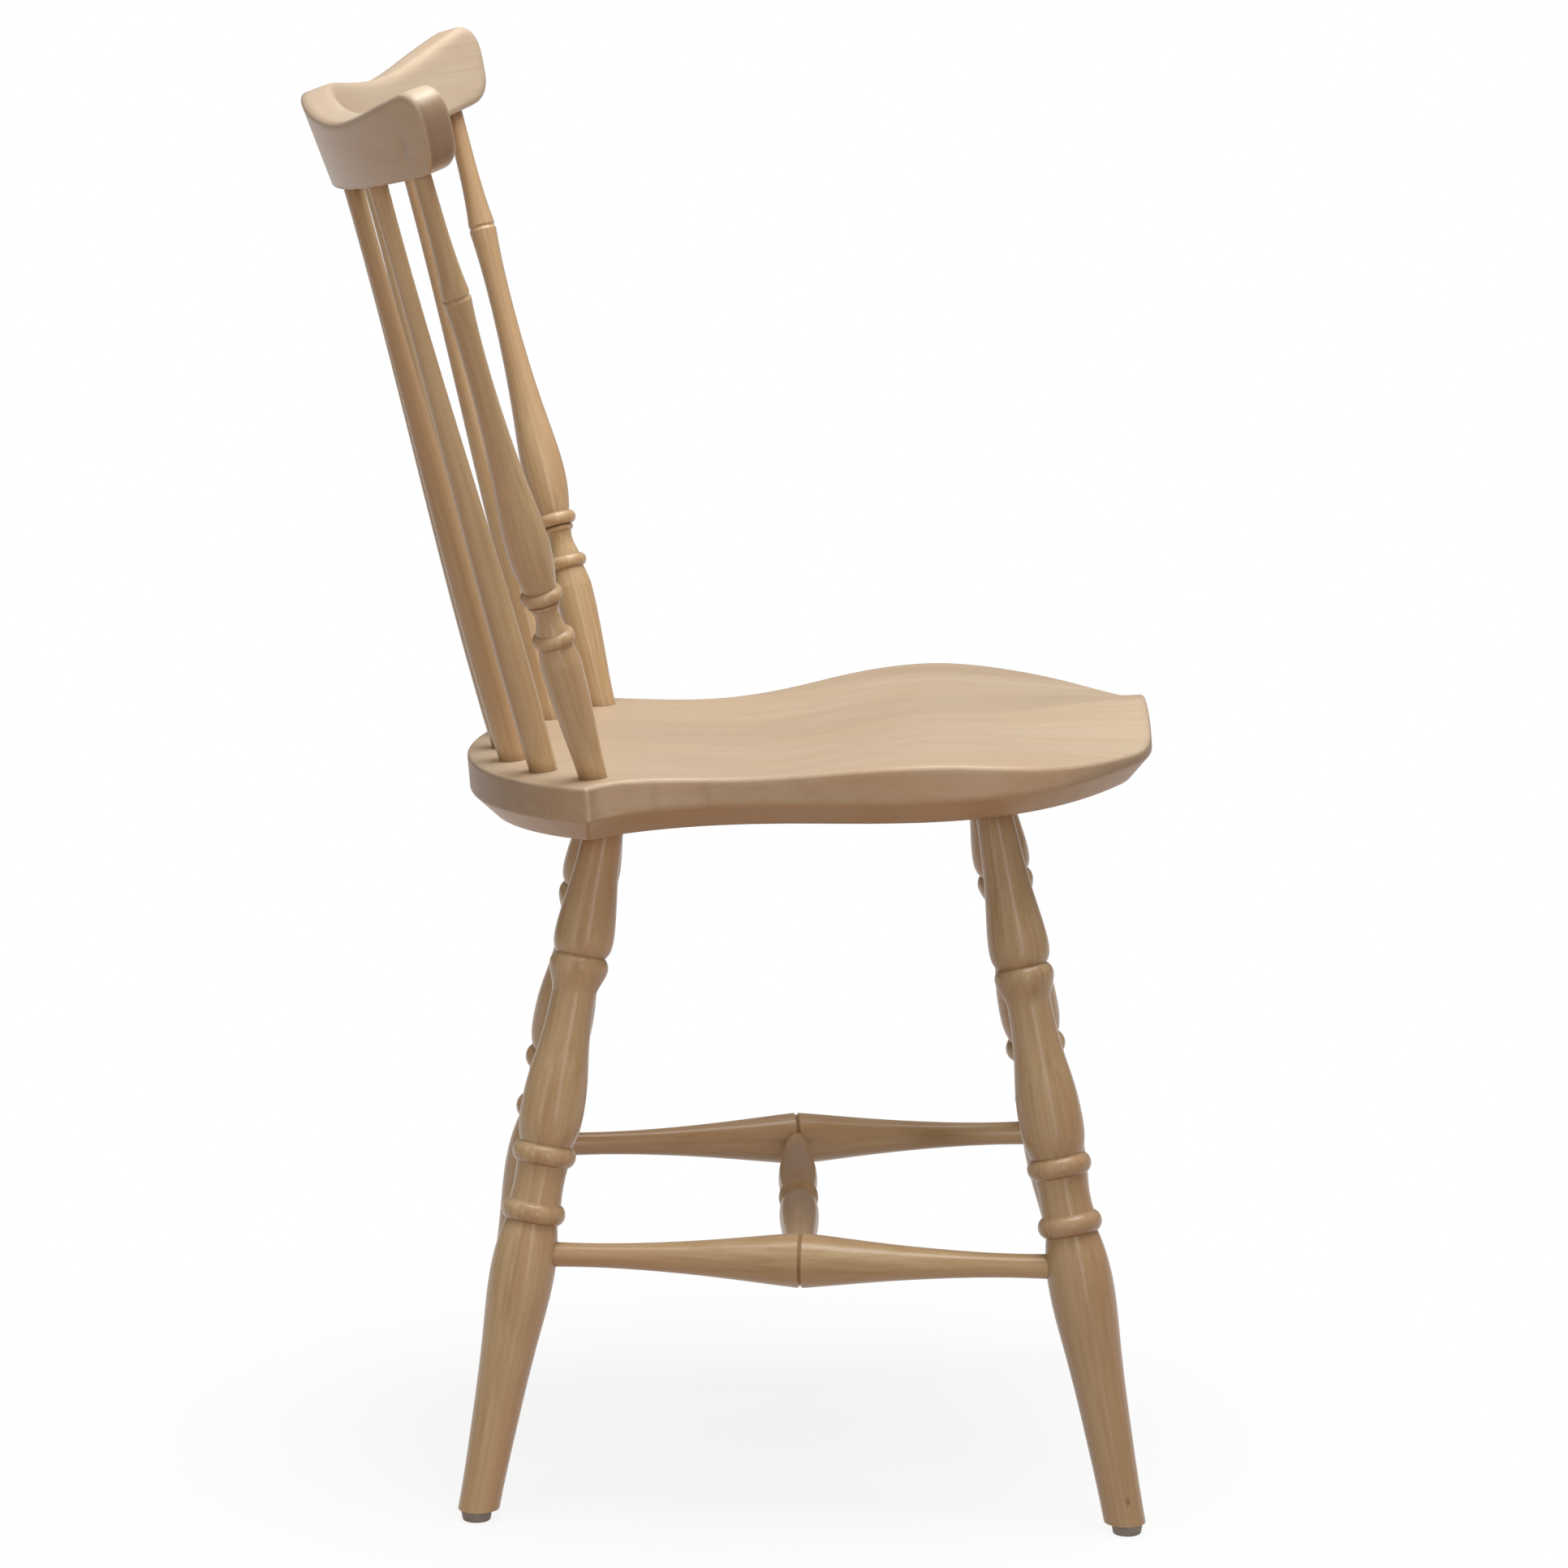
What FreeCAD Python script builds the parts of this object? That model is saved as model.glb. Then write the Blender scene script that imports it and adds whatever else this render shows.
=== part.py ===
import FreeCAD, Part
import math
import os
import Sketcher
from FreeCAD import Placement, Rotation, Vector

# Windsor side chair: a plank seat on four turned legs, braced by three stretchers, with a back of
# two turned posts and five plain spindles under a bent crest rail.
# Millimetres. X runs across the chair, -Y is the front, +Z is up, and the floor is Z = 0.

doc = FreeCAD.newDocument("WindsorChair")
sheet = doc.addObject("Spreadsheet::Sheet", "Sizes")

driving = {
    # seat plank, measured on its tilted deck from the line through the two back posts
    "seat_height": 450.0,
    "post_line_y": 81.1,
    "seat_tilt": 4.46,
    "seat_thickness": 35.2,
    "seat_stock_over_deck": 8.0,
    "seat_widest": 348.0,
    "seat_widest_at": 218.0,
    "seat_waist": 263.0,
    "seat_waist_at": 50.0,
    "seat_rear_width": 306.0,
    "seat_rear_radius": 190.0,
    "seat_rear_overhang": 80.6,
    "seat_front_at": 338.5,
    "seat_nose_half": 100.0,
    "seat_nose_back": 14.0,
    "seat_nose_heading": 34.8,
    "seat_nose_pull": 40.0,
    "seat_front_pull": 60.0,
    "seat_tip_pull": 25.0,
    "seat_flare_pull": 67.2,
    "seat_shoulder_pull": 58.6,
    "seat_corner_heading": 30.2,
    "seat_corner_pull": 15.0,
    "seat_hollow_pull": 26.6,
    "seat_bevel_height": 14.0,
    "seat_bevel_inset": 13.0,
    "seat_edge_round": 2.5,
    "seat_dish_depth": 10.0,
    "seat_dish_at": 97.0,
    "seat_dish_length": 230.0,
    "seat_dish_width": 450.0,
    "seat_roll_at": 225.0,
    "seat_roll_angle": 8.8,
    "seat_roll_bend": 25.0,
    "seat_brow_at": 200.0,
    "seat_brow_height": 2.0,
    "seat_brow_length": 90.0,
    "seat_pommel_at": 190.0,
    "seat_pommel_full_at": 310.0,
    "seat_pommel_height": 0.4,
    "seat_pommel_width": 120.0,
    # legs: axes from the floor to a reference height under the seat
    "leg_reference_height": 430.0,
    "legs_centre_y": -43.1,
    "front_foot_spread": 375.0,
    "rear_foot_spread": 318.6,
    "foot_depth": 392.0,
    "front_top_spread": 242.4,
    "rear_top_spread": 166.8,
    "top_depth": 230.3,
    "leg_tenon": 22.0,
    # leg turning: distance along the axis from the floor, and radius
    "leg_foot_radius": 12.4,
    "leg_shin_at": 60.0,
    "leg_shin_radius": 13.9,
    "leg_calf_at": 110.0,
    "leg_calf_radius": 16.8,
    "leg_shoulder_at": 162.0,
    "leg_shoulder_radius": 19.2,
    "leg_ring_low_at": 189.8,
    "leg_ring_high_at": 225.3,
    "leg_ring_thickness": 12.6,
    "leg_ring_radius": 19.5,
    "leg_ring_neck_radius": 15.8,
    "leg_cove_radius": 15.2,
    "leg_vase_foot_at": 239.0,
    "leg_vase_foot_radius": 18.1,
    "leg_vase_at": 256.0,
    "leg_vase_radius": 19.2,
    "leg_vase_brow_at": 273.0,
    "leg_vase_brow_radius": 18.1,
    "leg_vase_neck_at": 290.0,
    "leg_vase_neck_radius": 15.6,
    "leg_waist_low_at": 306.0,
    "leg_waist_low_radius": 14.0,
    "leg_waist_at": 324.0,
    "leg_waist_radius": 13.4,
    "leg_collar_foot_at": 333.5,
    "leg_collar_foot_radius": 16.0,
    "leg_collar_at": 341.0,
    "leg_collar_radius": 18.0,
    "leg_groove_at": 347.6,
    "leg_groove_radius": 14.9,
    "leg_swell_foot_at": 351.5,
    "leg_swell_foot_radius": 17.2,
    "leg_swell_at": 359.0,
    "leg_swell_radius": 18.2,
    "leg_swell_brow_at": 370.0,
    "leg_swell_brow_radius": 17.4,
    "leg_swell_neck_at": 386.0,
    "leg_swell_neck_radius": 15.3,
    "leg_neck_at": 405.0,
    "leg_neck_below_seat": 45.0,
    "leg_neck_radius": 13.2,
    "leg_top_taper": 0.066,
    # foot glides and their nails
    "glide_height": 7.0,
    "glide_radius": 9.6,
    "glide_foot_radius": 8.6,
    "glide_foot_round": 1.2,
    "nail_radius": 1.2,
    "nail_length": 18.0,
    "nail_head_radius": 3.2,
    "nail_head_depth": 2.5,
    "nail_head_thickness": 1.12,
    "nail_point_length": 2.4,
    "nail_tip_radius": 0.24,
    # stretchers
    "stretcher_height": 158.5,
    "side_stretcher_radius": 16.6,
    "side_stretcher_shoulder_at": 22.0,
    "side_stretcher_shoulder_radius": 14.5,
    "side_stretcher_waist_at": 50.0,
    "side_stretcher_waist_radius": 11.6,
    "side_stretcher_slim_at": 80.0,
    "side_stretcher_slim_radius": 9.2,
    "side_stretcher_wrist_at": 106.0,
    "side_stretcher_wrist_radius": 7.8,
    "side_stretcher_end_radius": 7.5,
    "side_stretcher_groove_depth": 1.5,
    "side_stretcher_groove_width": 3.0,
    "side_stretcher_tenon": 13.0,
    "cross_stretcher_taper_at": 99.0,
    "cross_stretcher_taper_radius": 9.5,
    "cross_stretcher_neck_radius": 7.6,
    "cross_stretcher_pinch_radius": 8.8,
    "cross_stretcher_bead_radius": 12.4,
    "cross_stretcher_bead_half": 9.0,
    "cross_stretcher_rise_at": 24.0,
    "cross_stretcher_rise_radius": 11.4,
    "cross_stretcher_vase_at": 48.0,
    "cross_stretcher_vase_radius": 12.2,
    "cross_stretcher_tenon": 12.0,
    # back: socket circle on the deck, rake and splay of posts and spindles
    "back_top_height": 820.0,
    "post_base_spread": 240.8,
    "post_top_spread": 406.0,
    "post_top_y": 176.4,
    "spindle_base_spread": 86.0,
    "spindle_base_set_back": 56.8,
    "spindle_top_spread": 140.6,
    "spindle_top_set_back": 59.0,
    "back_seat_tenon": 24.0,
    "back_crest_tenon": 26.0,
    "spindle_base_radius": 8.3,
    "spindle_swell_at": 68.0,
    "spindle_swell_radius": 9.2,
    "spindle_middle_at": 200.0,
    "spindle_middle_radius": 7.0,
    "spindle_top_radius": 5.9,
    # back post turning: distance along the axis from the deck, and radius
    "post_base_radius": 8.4,
    "post_shin_at": 31.0,
    "post_shin_radius": 10.2,
    "post_barrel_at": 60.0,
    "post_barrel_radius": 12.0,
    "post_shoulder_at": 77.0,
    "post_shoulder_radius": 12.2,
    "post_collar_at": 83.5,
    "post_collar_radius": 11.2,
    "post_ring_low_at": 93.0,
    "post_ring_high_at": 120.9,
    "post_ring_thickness": 8.4,
    "post_ring_radius": 13.0,
    "post_ring_neck_radius": 10.0,
    "post_flare_radius": 9.5,
    "post_bell_at": 101.5,
    "post_bell_radius": 8.5,
    "post_cove_at": 107.0,
    "post_cove_radius": 7.5,
    "post_lip_thickness": 4.0,
    "post_lip_radius": 9.8,
    "post_lip_neck_radius": 8.2,
    "post_swell_at": 142.0,
    "post_swell_radius": 12.9,
    "post_slope_at": 185.3,
    "post_slope_radius": 10.93,
    "post_waist_at": 272.0,
    "post_waist_radius": 7.0,
    "post_node_at": 312.8,
    "post_node_radius": 8.6,
    "post_node_high_radius": 8.4,
    "post_node_groove": 0.9,
    "post_node_groove_width": 3.6,
    "post_vase_at": 331.7,
    "post_vase_radius": 6.8,
    "post_wrist_at": 350.5,
    "post_wrist_radius": 6.0,
    "post_top_radius": 5.6,
    # crest rail: a board bent to an arc and raked back, with rounded ears
    "crest_rake": 20.4,
    "crest_thickness": 20.5,
    "crest_bend_radius": 370.0,
    "crest_centre_height": 56.0,
    "crest_dip_at": 146.0,
    "crest_dip_height": 41.0,
    "crest_ear_at": 228.0,
    "crest_ear_height": 50.0,
    "crest_end_bottom": 240.0,
    "crest_end_top": 254.0,
    "crest_ear_round": 27.0,
    "crest_ear_low_round": 17.0,
    "crest_edge_round": 2.2,
    "crest_front_round": 4.5,
    "crest_apex_y": 229.4,
    "crest_apex_height": 797.6,
    # glue joints
    "glue_gap": 0.15,
}

for row, (alias, value) in enumerate(driving.items(), start=1):
    sheet.set(f"A{row}", alias)
    sheet.set(f"B{row}", str(value))
    sheet.setAlias(f"B{row}", alias)
doc.recompute()


def size(alias):
    return float(sheet.get(alias))


def axisPlacement(start, end):
    """Put a piece made along +Z on the line from start to end."""
    return Placement(start, Rotation(Vector(0, 0, 1), end - start))


def originPlane(body, role):
    return next(item for item in body.Origin.OriginFeatures if item.Role == role)


def newSketch(body, name, role):
    sketch = body.newObject("Sketcher::SketchObject", name)
    sketch.AttachmentSupport = (originPlane(body, role), [""])
    sketch.MapMode = "FlatFace"
    return sketch


def curveThrough(points):
    """Straight between two points, an arc through three and a smooth curve through more."""
    if len(points) == 2:
        return Part.LineSegment(*points)
    if len(points) == 3:
        return Part.ArcOfCircle(*points)
    curve = Part.BSplineCurve()
    curve.interpolate(points)
    return curve


def turned(label, runs, placement, grow=0.0):
    """A turned piece: runs of (distance, radius) from end to end, revolved about its axis.

    With grow, the same piece is that much larger all over: the hollow that it is glued into.
    """
    name = label.title().replace("_", "")
    body = doc.addObject("PartDesign::Body", name)
    body.Label = label
    sketch = newSketch(body, name + "Profile", "XZ_Plane")
    foot = runs[0][0][0] - grow
    top = runs[-1][-1][0] + grow
    outline = [[Vector(radius + grow, distance, 0) for distance, radius in run] for run in runs]
    outline[0][0].y = foot
    outline[-1][-1].y = top
    closing = [Vector(0, top, 0), Vector(0, foot, 0)]
    sketch.addGeometry([curveThrough(points) for points in outline], False)
    sketch.addGeometry(Part.LineSegment(outline[-1][-1], closing[0]), False)
    sketch.addGeometry(Part.LineSegment(closing[0], closing[1]), False)
    sketch.addGeometry(Part.LineSegment(closing[1], outline[0][0]), False)
    revolution = body.newObject("PartDesign::Revolution", name + "Turning")
    revolution.Profile = sketch
    revolution.ReferenceAxis = (sketch, ["V_Axis"])
    revolution.Angle = 360
    body.Placement = placement
    return body


def bead(low, high, neck, crown):
    """An arc bead between two distances, standing on its neck radius."""
    return [(low, neck), ((low + high) / 2, crown), (high, neck)]


def cut(label, base, tools):
    """Hollow base with tools; the result carries the sub-part's label."""
    group = doc.addObject("Part::Compound", base.Name + "Hollows")
    group.Links = tools
    result = doc.addObject("Part::Cut", base.Name + "Hollowed")
    result.Base = base
    result.Tool = group
    base.Label = label + "_blank"
    result.Label = label
    return result


# Seat: deck frame at the line through the back posts, tilted down to the rear
carving_steps = 18
deck = Placement(
    Vector(0, size("post_line_y"), size("seat_height")),
    Rotation(Vector(1, 0, 0), -size("seat_tilt")),
)


def meetsDeck(start, end, height):
    """Distance from start, along the line to end, to the plane at a height over the deck."""
    near = deck.inverse().multVec(start)
    far = deck.inverse().multVec(end)
    return (height - near.z) / (far.z - near.z) * start.distanceToPoint(end)


def rearCorner():
    """Where the hollow side meets the arc of the rear edge, on the deck."""
    x = size("seat_rear_width") / 2
    centre = size("seat_rear_overhang") - size("seat_rear_radius")
    return Vector(x, centre + math.sqrt(size("seat_rear_radius") ** 2 - x ** 2), 0)


def heading(angle):
    """A direction on the deck: inwards, and turned that many degrees to the front."""
    return Vector(-math.cos(math.radians(angle)), -math.sin(math.radians(angle)), 0)


def seatBlank():
    """The plank sawn to its outline from thicker stock, and bevelled underneath."""
    body = doc.addObject("PartDesign::Body", "SeatPlank")
    body.Label = "seat_plank"
    sketch = newSketch(body, "SeatOutline", "XY_Plane")
    sketch.AttachmentOffset = Placement(Vector(0, 0, size("seat_stock_over_deck")), Rotation())
    corner = rearCorner()
    waist = Vector(size("seat_waist") / 2, -size("seat_waist_at"), 0)
    widest = Vector(size("seat_widest") / 2, -size("seat_widest_at"), 0)
    nose = Vector(size("seat_nose_half"), -size("seat_front_at") + size("seat_nose_back"), 0)
    front = Vector(0, -size("seat_front_at"), 0)
    flare = Vector(0, -size("seat_flare_pull"), 0)
    shoulder = Vector(0, -size("seat_shoulder_pull"), 0)
    hollow = Vector(0, size("seat_hollow_pull"), 0)
    nose_heading = heading(size("seat_nose_heading"))
    corner_pole = corner + heading(size("seat_corner_heading")) * size("seat_corner_pull")
    front_pole = front + Vector(size("seat_front_pull"), 0, 0)
    spans = [
        [corner, corner_pole, waist + hollow, waist],
        [waist, waist + flare, widest - flare, widest],
        [widest, widest + shoulder, nose - nose_heading * size("seat_nose_pull"), nose],
        [nose, nose + nose_heading * size("seat_tip_pull"), front_pole, front],
    ]
    for span in spans:
        for side in (1, -1):
            curve = Part.BezierCurve()
            curve.setPoles([Vector(pole.x * side, pole.y, 0) for pole in span])
            sketch.addGeometry(curve.toBSpline(), False)
    rear = Vector(0, size("seat_rear_overhang"), 0)
    sketch.addGeometry(Part.ArcOfCircle(corner, rear, Vector(-corner.x, corner.y, 0)), False)
    pad = body.newObject("PartDesign::Pad", "SeatThickness")
    pad.Profile = sketch
    pad.setExpression("Length", "Sizes.seat_thickness + Sizes.seat_stock_over_deck")
    pad.Reversed = True
    doc.recompute()
    underside = [
        f"Edge{number}" for number, edge in enumerate(pad.Shape.Edges, start=1)
        if abs(edge.BoundBox.ZMax + size("seat_thickness")) < 0.01
    ]
    bevel = body.newObject("PartDesign::Chamfer", "SeatBevel")
    bevel.Base = (pad, underside)
    bevel.ChamferType = "Two distances"
    bevel.setExpression("Size", "Sizes.seat_bevel_height")
    bevel.setExpression("Size2", "Sizes.seat_bevel_inset")
    body.Placement = deck
    return body


def deckHeight(x, y):
    """Height of the carved top over the flat deck.

    A hollow to sit in, a low brow in front of it, sides that roll down to the front, and between
    them a pommel that rises and widens towards the front edge.
    """
    along = (y + size("seat_dish_at")) / (size("seat_dish_length") / 2)
    across = x / (size("seat_dish_width") / 2)
    inside = max(0.0, 1 - along ** 2 - across ** 2)
    hollow = size("seat_dish_depth") * inside ** 2
    past = -y - size("seat_roll_at")
    bent = (past + math.hypot(past, size("seat_roll_bend"))) / 2
    drop = bent * math.tan(math.radians(size("seat_roll_angle")))
    forward = (-y - size("seat_pommel_at")) / (size("seat_pommel_full_at") - size("seat_pommel_at"))
    forward = min(max(forward, 0.0), 1.0)
    rise = forward ** 2 * (3 - 2 * forward)
    half = size("seat_pommel_width") / 2 * (1 + rise) / 2
    ridge = math.exp(-((x / half) ** 2))
    over_brow = (y + size("seat_brow_at")) / (size("seat_brow_length") / 2)
    brow = size("seat_brow_height") * math.exp(-(over_brow ** 2))
    return brow - hollow - drop * (1 - ridge * rise) + size("seat_pommel_height") * ridge * rise


def deckWaste():
    """What the carver takes off the plank: everything over the smooth top surface."""
    margin = size("seat_thickness")
    half = size("seat_widest") / 2 + margin
    front = -size("seat_front_at") - margin
    depth = size("seat_rear_overhang") + margin - front
    steps = range(carving_steps + 1)
    across = [half * (2 * i / carving_steps - 1) for i in steps]
    along = [front + depth * j / carving_steps for j in steps]
    grid = [[(x, y) for y in along] for x in across]
    top = Part.BSplineSurface()
    top.interpolate([[Vector(x, y, deckHeight(x, y)) for x, y in line] for line in grid])
    waste = doc.addObject("Part::Feature", "SeatWaste")
    waste.Shape = top.toShape().extrude(Vector(0, 0, margin * 2))
    waste.Placement = deck
    return waste


def roundedEdges(carved):
    """Ease the edge between the top face and the upright sides, and the two rear corners."""
    doc.recompute()
    corner = rearCorner()
    upright = deck.Rotation.multVec(Vector(0, 0, 1))
    edges = []
    for number, edge in enumerate(carved.Shape.Edges, start=1):
        middle = edge.valueAt((edge.FirstParameter + edge.LastParameter) / 2)
        lifts = []
        for face in carved.Shape.ancestorsOfType(edge, Part.Face):
            lifts.append(face.normalAt(*face.Surface.parameter(middle)).dot(upright))
        on_top = min(abs(lift) for lift in lifts) < 0.02 and max(lifts) > 0.9
        ends = [deck.inverse().multVec(vertex.Point) for vertex in edge.Vertexes]
        at_corner = any(math.hypot(abs(end.x) - corner.x, end.y - corner.y) < 0.01 for end in ends)
        if on_top or (at_corner and max(abs(lift) for lift in lifts) < 0.9):
            edges.append((number, size("seat_edge_round"), size("seat_edge_round")))
    easing = doc.addObject("Part::Fillet", "SeatEdgeRound")
    easing.Base = carved
    easing.Edges = edges
    return easing


seat_carved = doc.addObject("Part::Cut", "SeatCarved")
seat_carved.Base = seatBlank()
seat_carved.Tool = deckWaste()
seat_plank = roundedEdges(seat_carved)


# Legs: foot and reference points, then the piece along the line between them
def legEnds(side, foot_spread, top_spread, end):
    foot = Vector(side * foot_spread / 2, size("legs_centre_y") + end * size("foot_depth") / 2, 0)
    top = Vector(
        side * top_spread / 2,
        size("legs_centre_y") + end * size("top_depth") / 2,
        size("leg_reference_height"),
    )
    return foot, top


def profile(piece, *names):
    """Points of a turning, from the piece's named distances and radii."""
    return [(size(f"{piece}_{name}_at"), size(f"{piece}_{name}_radius")) for name in names]


def legRuns(length):
    """The turning above the rings is spread between them and the seat."""
    ring = size("leg_ring_thickness") / 2
    ring_neck = size("leg_ring_neck_radius")
    low = size("leg_ring_low_at")
    high = size("leg_ring_high_at")
    ring_top = high + ring
    neck = size("seat_height") - size("leg_neck_below_seat")
    spread = (neck - ring_top) / (size("leg_neck_at") - ring_top)

    def spreadProfile(*names):
        points = profile("leg", *names)
        return [(ring_top + (at - ring_top) * spread, radius) for at, radius in points]

    top_radius = size("leg_neck_radius") - (length - neck) * size("leg_top_taper")
    return [
        [(0, size("leg_foot_radius"))] + profile("leg", "shin", "calf", "shoulder")
        + [(low - ring, ring_neck)],
        bead(low - ring, low + ring, ring_neck, size("leg_ring_radius")),
        [(low + ring, ring_neck), ((low + high) / 2, size("leg_cove_radius")), (high - ring, ring_neck)],
        bead(high - ring, ring_top, ring_neck, size("leg_ring_radius")),
        [(ring_top, ring_neck)]
        + spreadProfile("vase_foot", "vase", "vase_brow", "vase_neck", "waist_low", "waist"),
        spreadProfile("waist", "collar_foot", "collar", "groove"),
        spreadProfile("groove", "swell_foot", "swell", "swell_brow", "swell_neck", "neck"),
        [(neck, size("leg_neck_radius")), (length, top_radius)],
    ]


def stretcherRuns(half):
    groove = size("side_stretcher_groove_width") / 2
    full = size("side_stretcher_radius")
    end_radius = size("side_stretcher_end_radius")
    tenon = size("side_stretcher_tenon")
    swell = [
        (groove, full),
        *profile("side_stretcher", "shoulder", "waist", "slim", "wrist"),
        (half - tenon, end_radius),
    ]
    mirrored = [(-distance, radius) for distance, radius in reversed(swell)]
    bottom = (0, full - size("side_stretcher_groove_depth"))
    return [
        [(-half, end_radius), mirrored[0]],
        mirrored,
        [mirrored[-1], bottom],
        [bottom, swell[0]],
        swell,
        [swell[-1], (half, end_radius)],
    ]


def crossRuns(half):
    bead_half = size("cross_stretcher_bead_half")
    pinch = size("cross_stretcher_pinch_radius")
    neck = size("cross_stretcher_neck_radius")
    tenon = size("cross_stretcher_tenon")
    vase = [(bead_half, pinch)] + profile("cross_stretcher", "rise", "vase", "taper")
    vase += [(half - tenon, neck)]
    mirrored = [(-distance, radius) for distance, radius in reversed(vase)]
    return [
        [(-half, neck), mirrored[0]],
        mirrored,
        bead(-bead_half, bead_half, pinch, size("cross_stretcher_bead_radius")),
        vase,
        [vase[-1], (half, neck)],
    ]


def withHollow(label, runs, placement):
    """A turned piece and the hollow that its mates are bored to take it."""
    piece = turned(label, runs, placement)
    hollow = turned(label + "_hollow", runs, placement, size("glue_gap"))
    return piece, hollow


legs = {}
leg_axes = {}
corners = [("front", -1, "front"), ("rear", 1, "rear")]
for row_name, end, prefix in corners:
    for side_name, side in (("left", -1), ("right", 1)):
        foot, top = legEnds(side, size(prefix + "_foot_spread"), size(prefix + "_top_spread"), end)
        entry = meetsDeck(foot, top, -size("seat_thickness"))
        key = f"{row_name}_{side_name}"
        leg_axes[key] = (foot, top)
        legs[key] = withHollow("leg_" + key, legRuns(entry + size("leg_tenon")), axisPlacement(foot, top))


def atHeight(ends, height):
    start, end = ends
    return start + (end - start) * (height / end.z)


# Side stretchers run from front leg to rear leg, the cross stretcher between their middles
side_stretchers = {}
middles = {}
for side_name in ("left", "right"):
    front = atHeight(leg_axes["front_" + side_name], size("stretcher_height"))
    rear = atHeight(leg_axes["rear_" + side_name], size("stretcher_height"))
    middles[side_name] = (front + rear) * 0.5
    inset = size("leg_shoulder_radius") - size("side_stretcher_tenon")
    half = front.distanceToPoint(rear) / 2 - inset
    place = Placement(middles[side_name], Rotation(Vector(0, 0, 1), rear - front))
    side_stretchers[side_name] = withHollow("side_stretcher_" + side_name, stretcherRuns(half), place)

middle = (middles["left"] + middles["right"]) * 0.5
cross_inset = size("side_stretcher_radius") - size("side_stretcher_groove_depth")
cross_inset -= size("cross_stretcher_tenon")
cross_half = middles["right"].x - cross_inset
cross_stretcher = withHollow(
    "cross_stretcher", crossRuns(cross_half), Placement(middle, Rotation(Vector(0, 0, 1), Vector(1, 0, 0)))
)


# Glides: a plastic disc under each foot, held by a nail
def glideRuns():
    round_off = size("glide_foot_round")
    low = size("glide_foot_radius")
    off_corner = round_off * (1 - math.sqrt(1 / 2))
    return [
        [(0, low - round_off), (off_corner, low - off_corner), (round_off, low)],
        [(round_off, low), (size("glide_height"), size("glide_radius"))],
    ]


def nailRuns():
    head_top = size("nail_head_depth")
    head_low = head_top - size("nail_head_thickness")
    shank = size("nail_radius")
    point = size("nail_length") - size("nail_point_length")
    return [
        [(head_low, size("nail_head_radius")), (head_top, size("nail_head_radius"))],
        [(head_top, size("nail_head_radius")), (head_top, shank)],
        [(head_top, shank), (point, shank)],
        [(point, shank), (size("nail_length"), size("nail_tip_radius"))],
    ]


# Back: posts and spindles stand on a circle on the deck and lean out to a wider one at the crest
def spreadOnArc(half_width, set_back, x):
    """How far the arc through the posts and the middle spindle stands behind the posts at x."""
    radius = (half_width ** 2 + set_back ** 2) / (2 * set_back)
    return math.sqrt(radius ** 2 - x ** 2) - radius + set_back


def backAxis(x_base, x_top):
    base_half = size("post_base_spread") / 2
    top_half = size("post_top_spread") / 2
    base = Vector(x_base, spreadOnArc(base_half, size("spindle_base_set_back"), x_base), 0)
    top_y = size("post_top_y") + spreadOnArc(top_half, size("spindle_top_set_back"), x_top)
    return deck.multVec(base), Vector(x_top, top_y, size("back_top_height"))


crest_frame = Placement(
    Vector(0, size("crest_apex_y"), size("crest_apex_height")),
    Rotation(Vector(1, 0, 0), -size("crest_rake")),
)


def meetsCrest(start, end):
    """Distance from start, along the line to end, to the crest rail's underside."""
    near = crest_frame.inverse().multVec(start)
    far = crest_frame.inverse().multVec(end)
    return near.z / (near.z - far.z) * start.distanceToPoint(end)


def spindleRuns(crest_at):
    tenon = size("back_seat_tenon")
    top = crest_at + size("back_crest_tenon")
    return [
        [(-tenon, size("spindle_base_radius")), (0, size("spindle_base_radius"))],
        [
            (0, size("spindle_base_radius")),
            (size("spindle_swell_at"), size("spindle_swell_radius")),
            (size("spindle_middle_at"), size("spindle_middle_radius")),
            (crest_at, size("spindle_top_radius")),
        ],
        [(crest_at, size("spindle_top_radius")), (top, size("spindle_top_radius"))],
    ]


def postRuns(crest_at):
    tenon = size("back_seat_tenon")
    top = crest_at + size("back_crest_tenon")
    ring = size("post_ring_thickness") / 2
    neck = size("post_ring_neck_radius")
    low = size("post_ring_low_at")
    high = size("post_ring_high_at")
    lip = high - ring - size("post_lip_thickness")
    lip_neck = size("post_lip_neck_radius")
    node = size("post_node_at")
    node_radius = size("post_node_radius")
    groove = size("post_node_groove")
    node_low = node - size("post_node_groove_width") / 2
    node_high = node + size("post_node_groove_width") / 2
    return [
        [(-tenon, size("post_base_radius")), (0, size("post_base_radius"))],
        [(0, size("post_base_radius"))] + profile("post", "shin", "barrel", "shoulder"),
        profile("post", "shoulder", "collar") + [(low - ring, neck)],
        bead(low - ring, low + ring, neck, size("post_ring_radius")),
        [(low + ring, neck), (low + ring, size("post_flare_radius"))],
        [(low + ring, size("post_flare_radius"))] + profile("post", "bell", "cove") + [(lip, lip_neck)],
        bead(lip, high - ring, lip_neck, size("post_lip_radius")),
        [(high - ring, lip_neck), (high - ring, neck)],
        bead(high - ring, high + ring, neck, size("post_ring_radius")),
        [(high + ring, neck)] + profile("post", "swell", "slope", "waist") + [(node_low, node_radius)],
        [(node_low, node_radius), (node, node_radius - groove)],
        [(node, node_radius - groove), (node_high, size("post_node_high_radius"))],
        [(node_high, size("post_node_high_radius"))] + profile("post", "vase", "wrist")
        + [(crest_at, size("post_top_radius"))],
        [(crest_at, size("post_top_radius")), (top, size("post_top_radius"))],
    ]


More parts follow.
